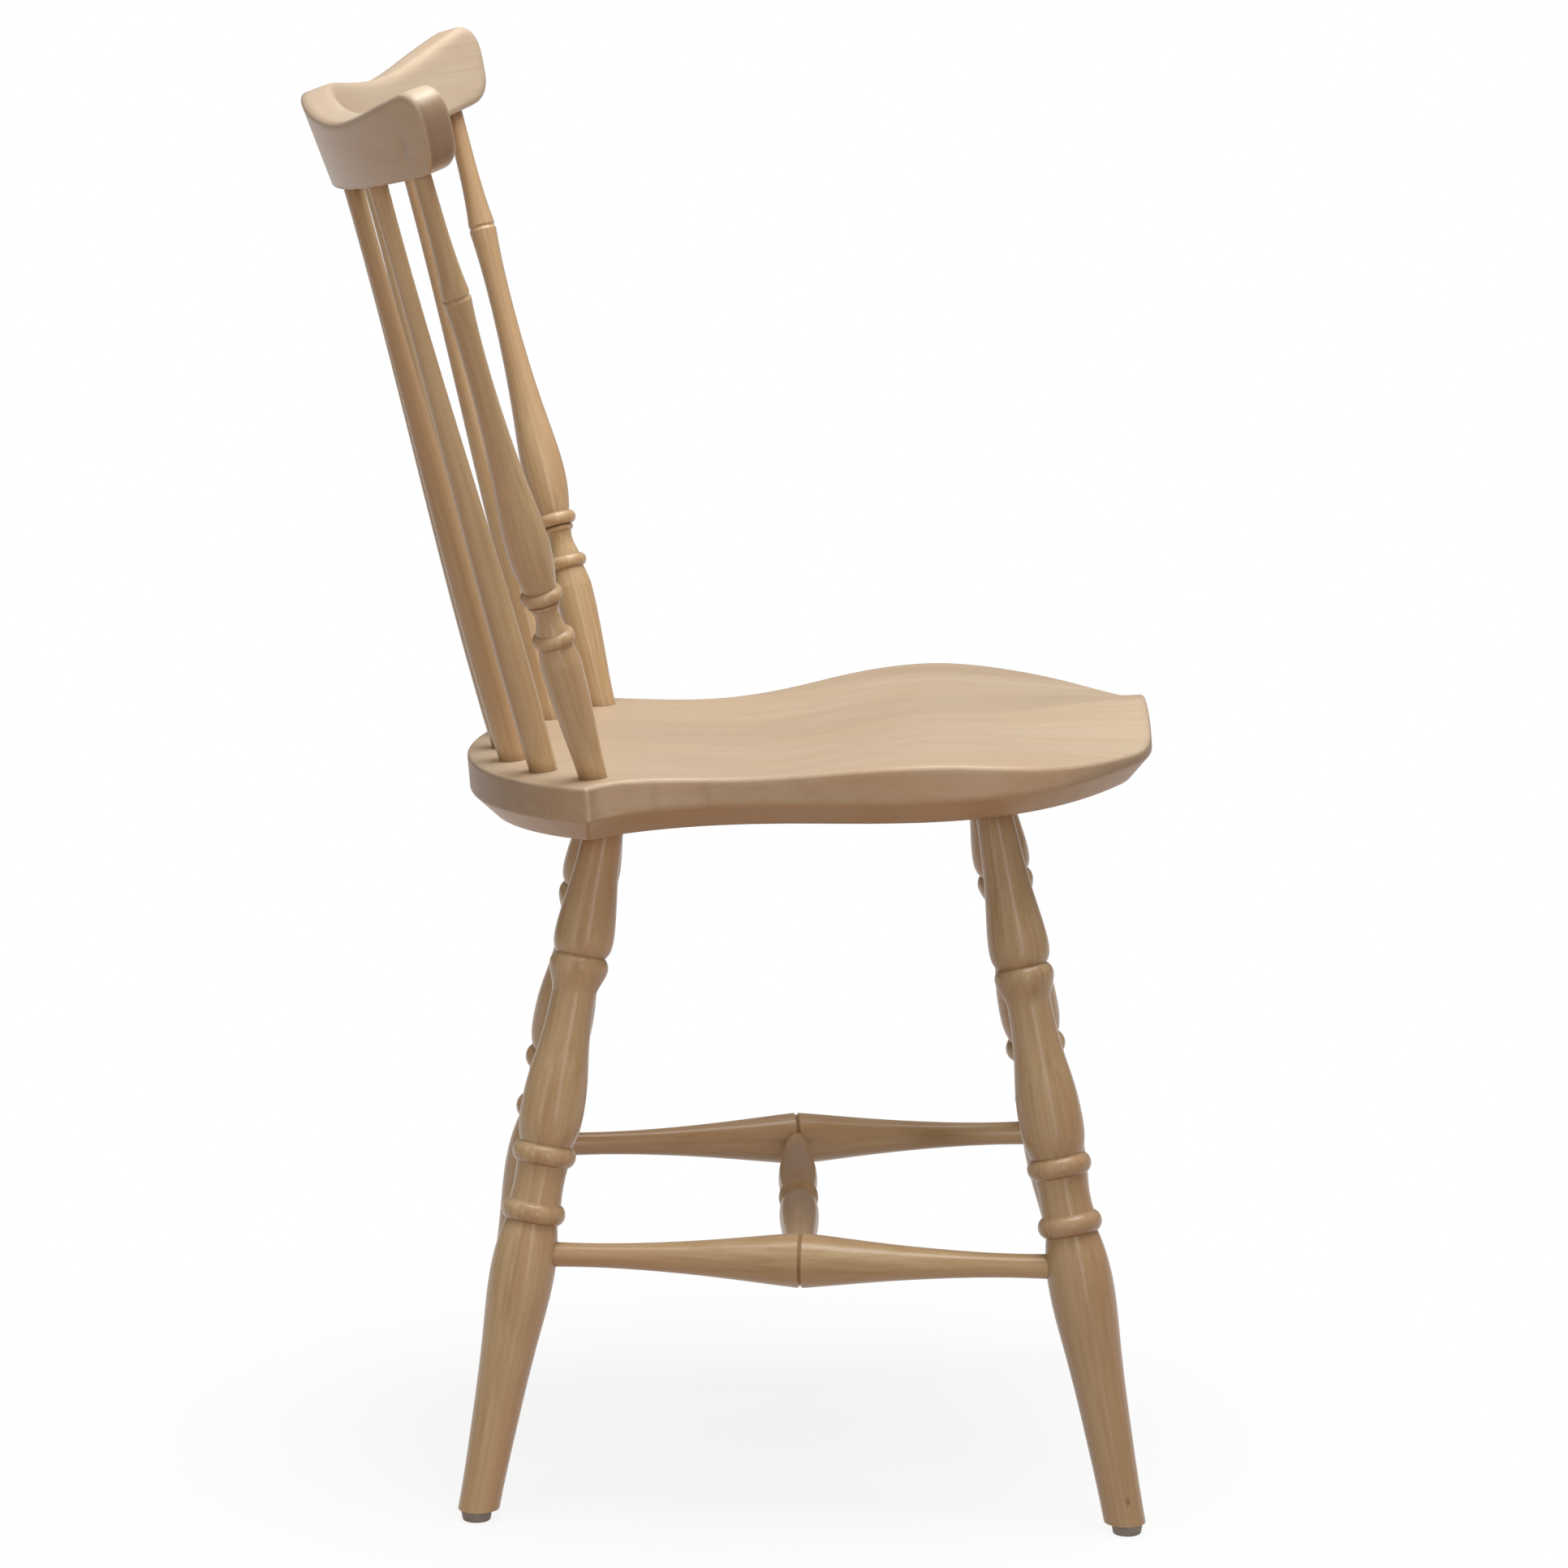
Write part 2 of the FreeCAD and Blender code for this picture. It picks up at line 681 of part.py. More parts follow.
back = {}
for side_name, side in (("left", -1), ("right", 1)):
    base, top = backAxis(side * size("post_base_spread") / 2, side * size("post_top_spread") / 2)
    runs = postRuns(meetsCrest(base, top))
    back["back_post_" + side_name] = withHollow("back_post_" + side_name, runs, axisPlacement(base, top))
for number, step in enumerate((-2, -1, 0, 1, 2), start=1):
    base, top = backAxis(step * size("spindle_base_spread") / 2, step * size("spindle_top_spread") / 2)
    runs = spindleRuns(meetsCrest(base, top))
    label = f"spindle_{number}"
    back[label] = withHollow(label, runs, axisPlacement(base, top))


def onBend(offset, angle):
    """A point on the bent board's plan, at an offset outwards from its middle line."""
    bend = size("crest_bend_radius")
    return Vector((bend + offset) * math.sin(angle), (bend + offset) * math.cos(angle) - bend, 0)


def offBend(point):
    """How far a point lies outside the bent board's middle line."""
    bend = size("crest_bend_radius")
    return math.hypot(point.x, point.y + bend) - bend


def crestTopWaste(reach):
    """What is sawn off over the wavy top: high in the middle, low beside it, high at the ears."""
    heights = [
        (size("crest_dip_at"), size("crest_dip_height")),
        (size("crest_ear_at"), size("crest_ear_height")),
        (reach, size("crest_ear_height")),
    ]
    line = [Vector(-x, 0, z) for x, z in reversed(heights)]
    line += [Vector(0, 0, size("crest_centre_height"))]
    line += [Vector(x, 0, z) for x, z in heights]
    over = Vector(0, 0, size("crest_ear_height"))
    edges = [curveThrough(line).toShape()]
    edges += [
        Part.makeLine(line[-1], line[-1] + over),
        Part.makeLine(line[-1] + over, line[0] + over),
        Part.makeLine(line[0] + over, line[0]),
    ]
    face = Part.Face(Part.Wire(Part.__sortEdges__(edges)))
    face.translate(Vector(0, -size("crest_bend_radius"), 0))
    return face.extrude(Vector(0, size("crest_bend_radius") * 2, 0))


def crestEndWaste(reach):
    """What is sawn off past the ear, square to the board, leaving the ear's corners round."""
    height = size("crest_ear_height")
    high_round = size("crest_ear_round")
    low_round = size("crest_ear_low_round")
    low_corner = Vector(0, 0, 0)
    high_corner = Vector(size("crest_end_top") - size("crest_end_bottom"), height, 0)
    heading = (high_corner - low_corner).normalize()
    low_in = low_corner - Vector(low_round, 0, 0)
    low_up = low_corner + heading * low_round
    high_down = high_corner - heading * high_round
    high_in = high_corner - Vector(high_round, 0, 0)
    low_curve = Part.BezierCurve()
    low_curve.setPoles([low_in, low_corner, low_up])
    high_curve = Part.BezierCurve()
    high_curve.setPoles([high_down, high_corner, high_in])
    outside = [
        high_in, high_in + Vector(0, height, 0), Vector(reach, height * 2, 0),
        Vector(reach, -height, 0), low_in - Vector(0, height, 0), low_in,
    ]
    edges = [low_curve.toShape(), Part.makeLine(low_up, high_down), high_curve.toShape()]
    edges += [Part.makeLine(first, second) for first, second in zip(outside, outside[1:])]
    waste = Part.Face(Part.Wire(Part.__sortEdges__(edges)))
    waste.rotate(Vector(0, 0, 0), Vector(1, 0, 0), 90)
    waste.translate(Vector(0, -size("crest_thickness") * 2, 0))
    waste = waste.extrude(Vector(0, size("crest_thickness") * 4, 0))
    angle = size("crest_end_bottom") / size("crest_bend_radius")
    waste.rotate(Vector(0, 0, 0), Vector(0, 0, 1), -math.degrees(angle))
    waste.translate(onBend(0, angle))
    return waste


def crestBoard():
    """The bent board, sawn to its wavy top and round ears, with eased edges."""
    half = size("crest_thickness") / 2
    reach = size("crest_end_top") + size("crest_ear_round")
    angle = reach / size("crest_bend_radius")
    faces = [
        Part.Arc(*[onBend(offset, side * angle) for side in (-1, 0, 1)]).toShape()
        for offset in (-half, half)
    ]
    ends = [Part.makeLine(onBend(-half, side * angle), onBend(half, side * angle)) for side in (-1, 1)]
    band = Part.Face(Part.Wire(Part.__sortEdges__(faces + ends)))
    board = band.extrude(Vector(0, 0, size("crest_ear_height") * 1.5))
    end_waste = crestEndWaste(reach)
    other_end = end_waste.mirror(Vector(0, 0, 0), Vector(1, 0, 0))
    board = board.cut([crestTopWaste(reach), end_waste, other_end])
    for offset, rounding in ((-half, size("crest_front_round")), (half, size("crest_edge_round"))):
        rim = [
            edge for edge in board.Edges
            if all(abs(offBend(vertex.Point) - offset) < half / 2 for vertex in edge.Vertexes)
        ]
        board = board.makeFillet(rounding, rim)
    rail = doc.addObject("Part::Feature", "CrestBoard")
    rail.Shape = board
    rail.Placement = crest_frame
    return rail


crest_board = crestBoard()

# Hollow each piece for its mates, and gather what is written out
below_feet = doc.addObject("Part::Box", "BelowFeet")
below_feet.setExpression("Height", "Sizes.glide_height + Sizes.leg_foot_radius")
below_feet.setExpression("Length", "Sizes.front_foot_spread * 2")
below_feet.setExpression("Width", "Sizes.foot_depth * 2")
cut_corner = Vector(-size("front_foot_spread"), size("legs_centre_y") - size("foot_depth"), 0)
below_feet.Placement = Placement(cut_corner - Vector(0, 0, size("leg_foot_radius")), Rotation())

pieces = []
seat_mates = [hollow for _, hollow in legs.values()] + [hollow for _, hollow in back.values()]
pieces.append(cut("seat", seat_plank, seat_mates))
pieces.append(cut("crest_rail", crest_board, [hollow for _, hollow in back.values()]))
nails = []
for key, (leg, _) in legs.items():
    foot = leg_axes[key][0]
    side_name = key.split("_")[1]
    place = Placement(foot, Rotation())
    nail, nail_hollow = withHollow("nail_" + key, nailRuns(), place)
    nails.append(nail)
    glide = turned("glide_" + key, glideRuns(), place)
    head_bore = doc.addObject("Part::Cylinder", "NailHeadBore" + key.title().replace("_", ""))
    head_bore.setExpression("Radius", "Sizes.nail_head_radius + Sizes.glue_gap")
    head_bore.setExpression("Height", "Sizes.nail_head_depth")
    head_bore.Placement = place
    pieces.append(cut("glide_" + key, glide, [nail_hollow, head_bore]))
    pieces.append(cut("leg_" + key, leg, [below_feet, side_stretchers[side_name][1], nail_hollow]))
for side_name, (stretcher, _) in side_stretchers.items():
    pieces.append(cut("side_stretcher_" + side_name, stretcher, [cross_stretcher[1]]))
pieces.append(cross_stretcher[0])
pieces += [piece for piece, _ in back.values()]
glide_nails = doc.addObject("Part::Compound", "GlideNails")
glide_nails.Label = "glide_nails"
glide_nails.Links = nails
pieces.append(glide_nails)

doc.recompute()
for item in doc.Objects:
    if "Invalid" in item.State or "Error" in item.State:
        raise RuntimeError(f"{item.Label} failed: {item.State}")
for piece in pieces:
    if piece.Shape.isNull() or not piece.Shape.isValid():
        raise RuntimeError(f"{piece.Label} has no valid shape")

os.makedirs("parts", exist_ok=True)
for piece in pieces:
    piece.Shape.exportStep(f"parts/{piece.Label}.step")
    print(piece.Label, round(piece.Shape.Volume), len(piece.Shape.Solids))
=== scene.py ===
import math
import bpy
import numpy as np
from mathutils import Matrix, Vector

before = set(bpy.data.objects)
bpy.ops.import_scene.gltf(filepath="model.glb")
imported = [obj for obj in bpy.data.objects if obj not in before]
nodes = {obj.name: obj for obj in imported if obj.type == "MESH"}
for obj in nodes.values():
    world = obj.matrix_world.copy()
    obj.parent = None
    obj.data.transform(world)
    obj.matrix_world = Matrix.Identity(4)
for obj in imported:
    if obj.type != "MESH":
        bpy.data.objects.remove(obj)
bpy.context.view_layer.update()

print("frame loaded:", len(nodes), "nodes")


# Small helpers for building node trees

def addNode(tree, kind, inputs=None, **settings):
    made = tree.nodes.new(kind)
    for key, value in settings.items():
        setattr(made, key, value)
    for key, value in (inputs or {}).items():
        if isinstance(value, bpy.types.NodeSocket):
            tree.links.new(value, made.inputs[key])
        else:
            made.inputs[key].default_value = value
    return made


def calc(tree, operation, *values):
    return addNode(tree, "ShaderNodeMath", dict(enumerate(values)), operation=operation).outputs[0]


def vectorCalc(tree, operation, *vectors):
    made = addNode(tree, "ShaderNodeVectorMath", dict(enumerate(vectors)), operation=operation)
    return made.outputs["Value" if operation in ("DOT_PRODUCT", "DISTANCE", "LENGTH") else "Vector"]


def stretched(tree, vector, factors):
    return vectorCalc(tree, "MULTIPLY", vector, factors)


def partsOf(tree, vector):
    return addNode(tree, "ShaderNodeSeparateXYZ", {0: vector}).outputs


def joined(tree, *parts):
    return addNode(tree, "ShaderNodeCombineXYZ", dict(enumerate(parts))).outputs[0]


def spread(tree, value, low, high, toLow=0.0, toHigh=1.0):
    # smooth step of value from low..high to toLow..toHigh
    inputs = {0: value, 1: low, 2: high, 3: toLow, 4: toHigh}
    return addNode(tree, "ShaderNodeMapRange", inputs, interpolation_type="SMOOTHSTEP").outputs[0]


def noise(tree, vector, scale, detail=2.0, roughness=0.5, output="Fac"):
    place = stretched(tree, vector, scale)
    inputs = {"Vector": place, "Scale": 1.0, "Detail": detail, "Roughness": roughness}
    return addNode(tree, "ShaderNodeTexNoise", inputs).outputs[output]


def cells(tree, vector, scale):
    inputs = {"Vector": stretched(tree, vector, scale), "Scale": 1.0}
    return addNode(tree, "ShaderNodeTexVoronoi", inputs, feature="F1").outputs


def blendColour(tree, factor, first, second, mode="MIX"):
    inputs = {0: factor, 6: first, 7: second}
    return addNode(tree, "ShaderNodeMix", inputs, data_type="RGBA", blend_type=mode).outputs[2]


def linear(red, green, blue):
    # a colour picked as 0-255 screen values, as Blender's linear colour
    return tuple(((c / 255 + 0.055) / 1.055) ** 2.4 for c in (red, green, blue)) + (1.0,)


def newGroup(name, numbers, results):
    # a node group that takes Vector and the named numbers, and gives the named results
    group = bpy.data.node_groups.new(name, "ShaderNodeTree")
    group.interface.new_socket("Vector", in_out="INPUT", socket_type="NodeSocketVector")
    for label in numbers:
        group.interface.new_socket(label, in_out="INPUT", socket_type="NodeSocketFloat")
    for label in results:
        group.interface.new_socket(label, in_out="OUTPUT", socket_type="NodeSocketFloat")
    start = group.nodes.new("NodeGroupInput")
    end = group.nodes.new("NodeGroupOutput")
    return group, start.outputs, end.inputs


def useGroup(tree, group, inputs):
    return addNode(tree, "ShaderNodeGroup", inputs, node_tree=group).outputs


def freshMaterial(name):
    material = bpy.data.materials.new(name)
    material.use_nodes = True
    return material, addNode(material.node_tree, "ShaderNodeTexCoord").outputs["Object"]


def dress(nodeName, material):
    shown = nodes[nodeName]
    shown.data.materials.clear()
    shown.data.materials.append(material)


# Beech figure: growth rings round a pith beside the piece, long streaks, broad clouds, short ray
# flecks and open pores. The vector is in metres with Z along the grain, and the scales count
# features to the metre across the grain and along it.

figureLook = {
    "seedShift": (1.0, 1.7, 0.6),
    "bendScale": (14, 14, 2.2), "ringPower": 2.2,
    "streakScale": (330, 330, 5), "streakWeight": 0.62,
    "cloudScale": (26, 26, 3.4),
    "wideScale": (95, 95, 2.6), "wideWeight": 0.5,
    "fleckScale": (950, 950, 230), "fleckSize": (0.18, 0.36), "fleckShare": (0.55, 0.9), "fleckDepth": -0.45,
    "poreScale": (1900, 1900, 90), "poreHeight": 0.5, "streakHeight": 0.35,
}


def makeBeechGroup():
    group, given, out = newGroup(
        "beechFigure",
        ["Pith X", "Pith Y", "Ring Spacing", "Ring Strength", "Warp", "Seed"],
        ["Tone", "Cloud", "Fleck", "Height"])
    shift = stretched(group, given["Seed"], figureLook["seedShift"])
    place = vectorCalc(group, "ADD", given["Vector"], shift)

    bent = noise(group, place, figureLook["bendScale"], 1.5, output="Color")
    bent = vectorCalc(group, "SUBTRACT", bent, (0.5, 0.5, 0.5))
    warped = vectorCalc(group, "ADD", given["Vector"], stretched(group, bent, given["Warp"]))
    parts = partsOf(group, warped)
    acrossX = calc(group, "SUBTRACT", parts[0], given["Pith X"])
    acrossY = calc(group, "SUBTRACT", parts[1], given["Pith Y"])
    squares = calc(group, "MULTIPLY_ADD", acrossX, acrossX, calc(group, "MULTIPLY", acrossY, acrossY))
    turn = calc(group, "DIVIDE", calc(group, "SQRT", squares), given["Ring Spacing"])
    wave = calc(group, "SINE", calc(group, "MULTIPLY", turn, math.tau))
    ring = calc(group, "POWER", calc(group, "MULTIPLY_ADD", wave, 0.5, 0.5), figureLook["ringPower"])

    streak = noise(group, place, figureLook["streakScale"], 3.0, 0.6)
    cloud = noise(group, place, figureLook["cloudScale"])
    wide = noise(group, place, figureLook["wideScale"], 1.0)
    tone = calc(group, "MULTIPLY", streak, figureLook["streakWeight"])
    tone = calc(group, "MULTIPLY_ADD", ring, given["Ring Strength"], tone)
    tone = calc(group, "MULTIPLY_ADD", wide, figureLook["wideWeight"], tone)

    dashes = cells(group, place, figureLook["fleckScale"])
    fleck = spread(group, dashes["Distance"], *figureLook["fleckSize"], 1.0, 0.0)
    chosen = addNode(group, "ShaderNodeSeparateColor", {0: dashes["Color"]}).outputs[0]
    fleck = calc(group, "MULTIPLY", fleck, spread(group, chosen, *figureLook["fleckShare"]))
    pores = noise(group, place, figureLook["poreScale"], 2.0, 0.6)
    height = calc(group, "MULTIPLY", streak, figureLook["streakHeight"])
    height = calc(group, "MULTIPLY_ADD", pores, figureLook["poreHeight"], height)
    height = calc(group, "MULTIPLY_ADD", fleck, figureLook["fleckDepth"], height)
    for label, value in (("Tone", tone), ("Cloud", cloud), ("Fleck", fleck), ("Height", height)):
        group.links.new(value, out[label])
    return group


# Edge and crevice masks: the first compares the true normal with one rounded over a small radius,
# the second asks how much of the open sky a point sees close by. The wood lightens its edges with
# the first as a painted highlight and darkens with the second as painted crevice shade; the glides
# scuff their rims with the first.

edgeAndCreviceLook = {
    "edgeMatch": (0.995, 0.90), "openRange": (0.35, 0.95),
    "patchScale": (60, 60, 60), "patchRange": (0.35, 0.6), "patchLeast": 0.35,
}


def makeEdgeAndCreviceGroup():
    group, given, out = newGroup("edgeWearSheenAndShade", ["Radius", "Reach"], ["Edge", "Crevice"])
    rounded = addNode(group, "ShaderNodeBevel", {"Radius": given["Radius"]}, samples=4).outputs[0]
    surface = addNode(group, "ShaderNodeNewGeometry").outputs["True Normal"]
    match = vectorCalc(group, "DOT_PRODUCT", rounded, surface)
    patchy = noise(group, given["Vector"], edgeAndCreviceLook["patchScale"], 3.0, 0.6)
    patchy = spread(group, patchy, *edgeAndCreviceLook["patchRange"], edgeAndCreviceLook["patchLeast"], 1.0)
    edge = calc(group, "MULTIPLY", spread(group, match, *edgeAndCreviceLook["edgeMatch"]), patchy)
    nearby = addNode(group, "ShaderNodeAmbientOcclusion", {"Distance": given["Reach"]}, samples=6)
    crevice = spread(group, nearby.outputs["AO"], *edgeAndCreviceLook["openRange"], 1.0, 0.0)
    group.links.new(edge, out["Edge"])
    group.links.new(crevice, out["Crevice"])
    return group


beechFigure = makeBeechGroup()
edgeWearSheenAndShade = makeEdgeAndCreviceGroup()


# Lacquered wood: what the turned pieces, the seat and the crest rail have in common

woodLook = {
    "cloudRange": (0.42, 0.75),
    "endFacing": (0.55, 0.95),
    "underFacing": (0.35, -0.6), "underShadeAmber": (0.95, 0.80, 0.60, 1.0),
    "toneRoughness": 0.10, "edgeRoughness": -0.08,
    "bumpStrength": 0.6, "index": 1.48, "sandingSamples": 8,
}


def woodColour(tree, figure, edgeAndCrevice, ends, upright, colours, look, tint):
    tone = spread(tree, figure["Tone"], *look["toneRange"])
    colour = blendColour(tree, tone, colours["pale"], colours["dark"])
    cloud = spread(tree, figure["Cloud"], *woodLook["cloudRange"], 0.0, look["cloud"])
    colour = blendColour(tree, cloud, colour, colours["warm"])
    if tint is not None:
        colour = blendColour(tree, tint, colour, colours["deep"])
    colour = blendColour(tree, ends, colour, colours["deep"])
    # painted shade: faces turned downwards are made darker and more amber
    paintedUnderShade = spread(tree, upright, *woodLook["underFacing"], 0.0, look["underShade"])
    colour = blendColour(tree, paintedUnderShade, colour, woodLook["underShadeAmber"], "MULTIPLY")
    fleck = calc(tree, "MULTIPLY", figure["Fleck"], look["fleck"])
    colour = blendColour(tree, fleck, colour, colours["deep"])
    # painted highlight along the rounded edges, broken into patches by noise, partly edge wear
    edge = calc(tree, "MULTIPLY", edgeAndCrevice["Edge"], look["edgeLight"])
    colour = blendColour(tree, edge, colour, colours["wornAndLit"])
    # painted shade: grooves and the bases of joined parts darkened towards the deep colour
    crevice = calc(tree, "MULTIPLY", edgeAndCrevice["Crevice"], look["crevice"])
    return blendColour(tree, crevice, colour, colours["deep"])


def sandedNormal(tree, coords, look):
    # rounds the shading over the edges, but not beside the sockets, whose walls would show through
    inputs = {"Radius": look["sanded"]}
    eased = addNode(tree, "ShaderNodeBevel", inputs, samples=woodLook["sandingSamples"]).outputs[0]
    plain = addNode(tree, "ShaderNodeNewGeometry").outputs["Normal"]
    where = spread(tree, partsOf(tree, coords)[look["sandedAxis"]], *look["sandedRange"])
    inputs = {"Factor": where, 4: plain, 5: eased}
    return addNode(tree, "ShaderNodeMix", inputs, data_type="VECTOR").outputs[1]


def finishWood(material, coords, grain, grainAxis, pith, seed, colours, look, tint=None):
    # colour, gloss and relief: grain is the pattern's vector, grainAxis the direction that it runs in
    tree = material.node_tree
    figure = useGroup(tree, beechFigure, {
        "Vector": grain, "Pith X": pith[0], "Pith Y": pith[1], "Ring Spacing": look["ringSpacing"],
        "Ring Strength": look["ringStrength"], "Warp": look["warp"], "Seed": seed})
    edgeAndCrevice = useGroup(tree, edgeWearSheenAndShade, {
        "Vector": coords, "Radius": look["edgeRadius"], "Reach": look["creviceReach"]})
    facing = addNode(tree, "ShaderNodeTexCoord").outputs["Normal"]
    # cut ends drink more lacquer
    ends = calc(tree, "ABSOLUTE", vectorCalc(tree, "DOT_PRODUCT", facing, grainAxis))
    ends = spread(tree, ends, *woodLook["endFacing"], 0.0, look["endGrain"])
    colour = woodColour(tree, figure, edgeAndCrevice, ends, partsOf(tree, facing)[2], colours, look, tint)
    gloss = calc(tree, "MULTIPLY_ADD", figure["Tone"], woodLook["toneRoughness"], look["roughness"])
    gloss = calc(tree, "MULTIPLY_ADD", edgeAndCrevice["Edge"], woodLook["edgeRoughness"], gloss)
    film = calc(tree, "MULTIPLY_ADD", ends, -look["lacquer"], look["lacquer"])
    relief = {"Height": figure["Height"], "Distance": look["bump"], "Strength": woodLook["bumpStrength"]}
    if "sanded" in look:
        relief["Normal"] = sandedNormal(tree, coords, look)
    bump = addNode(tree, "ShaderNodeBump", relief)
    shader = tree.nodes["Principled BSDF"]
    tree.links.new(colour, shader.inputs["Base Color"])
    tree.links.new(gloss, shader.inputs["Roughness"])
    tree.links.new(film, shader.inputs["Coat Weight"])
    tree.links.new(bump.outputs[0], shader.inputs["Normal"])
    shader.inputs["IOR"].default_value = woodLook["index"]
    shader.inputs["Coat Roughness"].default_value = look["lacquerRoughness"]


knotLook = {"raggedScale": (700, 700, 700), "ragged": 0.8, "heart": 0.5, "rim": 1.3, "depth": 0.75}


def knot(tree, coords, place, radius, length=1.0):
    # a small dark knot: full at its heart, gone at its rim, longer upwards, pulled out of round by noise
    flat = stretched(tree, coords, (1, 1, 1 / length))
    away = vectorCalc(tree, "DISTANCE", flat, (place[0], place[1], place[2] / length))
    ragged = noise(tree, coords, knotLook["raggedScale"])
    ragged = calc(tree, "MULTIPLY_ADD", ragged, radius * knotLook["ragged"], away)
    return spread(tree, ragged, radius * knotLook["heart"], radius * knotLook["rim"], knotLook["depth"], 0.0)


# Turned pieces: each has its own material, with the grain along its own axis

turnedColours = {
    "pale": linear(216, 189, 147),
    "dark": linear(187, 153, 109),
    "warm": linear(212, 168, 127),
    "deep": linear(112, 76, 44),
    "wornAndLit": linear(228, 204, 166),
}
turnedLook = {
    "ringSpacing": 0.0034, "ringStrength": 0.06, "warp": 0.006, "toneRange": (0.36, 0.90),
    "endGrain": 0.30, "cloud": 0.55, "fleck": 0.17, "underShade": 0.2,
    "edgeLight": 0.35, "edgeRadius": 0.0016, "crevice": 0.55, "creviceReach": 0.011,
    "roughness": 0.40, "bump": 0.00006, "lacquer": 0.5, "lacquerRoughness": 0.22,
    "pithAway": 0.055, "pithTurn": 2.4, "seedStep": 0.37, "axisSample": 4000,
}
brownLeg = {
    "node": "leg_front_left", "tint": 0.22,
    "knotAt": (-0.1965, -0.2391, 0.0224), "knotRadius": 0.0026, "knotLength": 2.4,
}


def axisOf(shown):
    # middle and long direction of a turned piece: its box's middle and the main spread of its points
    count = len(shown.data.vertices)
    points = np.empty(count * 3)
    shown.data.vertices.foreach_get("co", points)
    points = points.reshape(-1, 3)
    middle = (points.min(axis=0) + points.max(axis=0)) / 2
    sample = points[:: max(1, count // turnedLook["axisSample"])] - points.mean(axis=0)
    direction = np.linalg.svd(sample, full_matrices=False)[2][0]
    if direction[np.argmax(np.abs(direction))] < 0:
        direction = -direction
    return Vector(middle), Vector(direction)


def brownTint(tree, coords):
    # this leg was cut from browner wood and has a knot near its foot
    spot = knot(tree, coords, brownLeg["knotAt"], brownLeg["knotRadius"], brownLeg["knotLength"])
    return calc(tree, "MAXIMUM", spot, brownLeg["tint"])


def turnedWood(nodeName, number):
    material, coords = freshMaterial("turnedBeech." + nodeName)
    tree = material.node_tree
    middle, direction = axisOf(nodes[nodeName])
    inputs = {"Vector": coords, "Location": middle, "Rotation": direction.to_track_quat("Z", "Y").to_euler()}
    grain = addNode(tree, "ShaderNodeMapping", inputs, vector_type="TEXTURE").outputs[0]
    side = number * turnedLook["pithTurn"]  # the pith lies to a different side of every piece
    pith = (turnedLook["pithAway"] * math.cos(side), turnedLook["pithAway"] * math.sin(side))
    tint = brownTint(tree, coords) if nodeName == brownLeg["node"] else None
    seed = number * turnedLook["seedStep"]
    finishWood(material, coords, grain, direction, pith, seed, turnedColours, turnedLook, tint)
    dress(nodeName, material)


turnedKinds = ("leg", "side_stretcher", "cross", "back_post", "spindle")
turnedNames = sorted(name for name in nodes if name.startswith(turnedKinds))
for number, nodeName in enumerate(turnedNames):
    turnedWood(nodeName, number)
print("turned wood:", len(turnedNames), "pieces")


# Seat: staves glued side by side, grain from front to back

seatColours = {
    "pale": linear(212, 192, 165),
    "dark": linear(193, 166, 135),
    "warm": linear(208, 175, 143),
    "deep": linear(120, 84, 52),
    "wornAndLit": linear(228, 209, 184),
}
seatLook = {
    "ringSpacing": 0.0042, "ringStrength": 0.03, "warp": 0.009, "toneRange": (0.26, 1.10),
    "endGrain": 0.42, "cloud": 0.5, "fleck": 0.14, "underShade": 1.0,
    "edgeLight": 0.4, "edgeRadius": 0.003, "crevice": 0.15, "creviceReach": 0.008,
    "roughness": 0.42, "bump": 0.00005, "lacquer": 0.3, "lacquerRoughness": 0.35,
    "sanded": 0.007, "sandedAxis": 1, "sandedRange": (0.07, 0.05),
    "pith": (0.02, 0.31), "seed": 3.1,
    "staveWidth": 0.0662, "staveTint": 0.16, "staveShift": 0.4, "staveLine": 0.12,
    "seamWidth": (0.0001, 0.0006),
    "knotAt": (0.1097, 0.0396, 0.4485), "knotRadius": 0.0022,
}


def seatWood():
    material, coords = freshMaterial("plankBeech.seat")
    tree = material.node_tree
    parts = partsOf(tree, coords)
    across = calc(tree, "DIVIDE", parts[0], seatLook["staveWidth"])
    stave = calc(tree, "FLOOR", across)
    chance = addNode(tree, "ShaderNodeTexWhiteNoise", {"W": stave}, noise_dimensions="1D").outputs["Value"]
    shift = calc(tree, "MULTIPLY", chance, seatLook["staveShift"])
    grain = joined(tree, *(calc(tree, "ADD", parts[axis], shift) for axis in (0, 2, 1)))
    seam = calc(tree, "MULTIPLY", calc(tree, "PINGPONG", across, 0.5), seatLook["staveWidth"])
    line = spread(tree, seam, *seatLook["seamWidth"], seatLook["staveLine"], 0.0)
    tint = calc(tree, "MAXIMUM", line, calc(tree, "MULTIPLY", chance, seatLook["staveTint"]))
    tint = calc(tree, "MAXIMUM", tint, knot(tree, coords, seatLook["knotAt"], seatLook["knotRadius"]))
    finishWood(
        material, coords, grain, (0, 1, 0), seatLook["pith"], seatLook["seed"], seatColours, seatLook, tint)
    dress("seat", material)


seatWood()


# Crest rail: steam-bent, so the grain follows the bend round an upright line in front of it

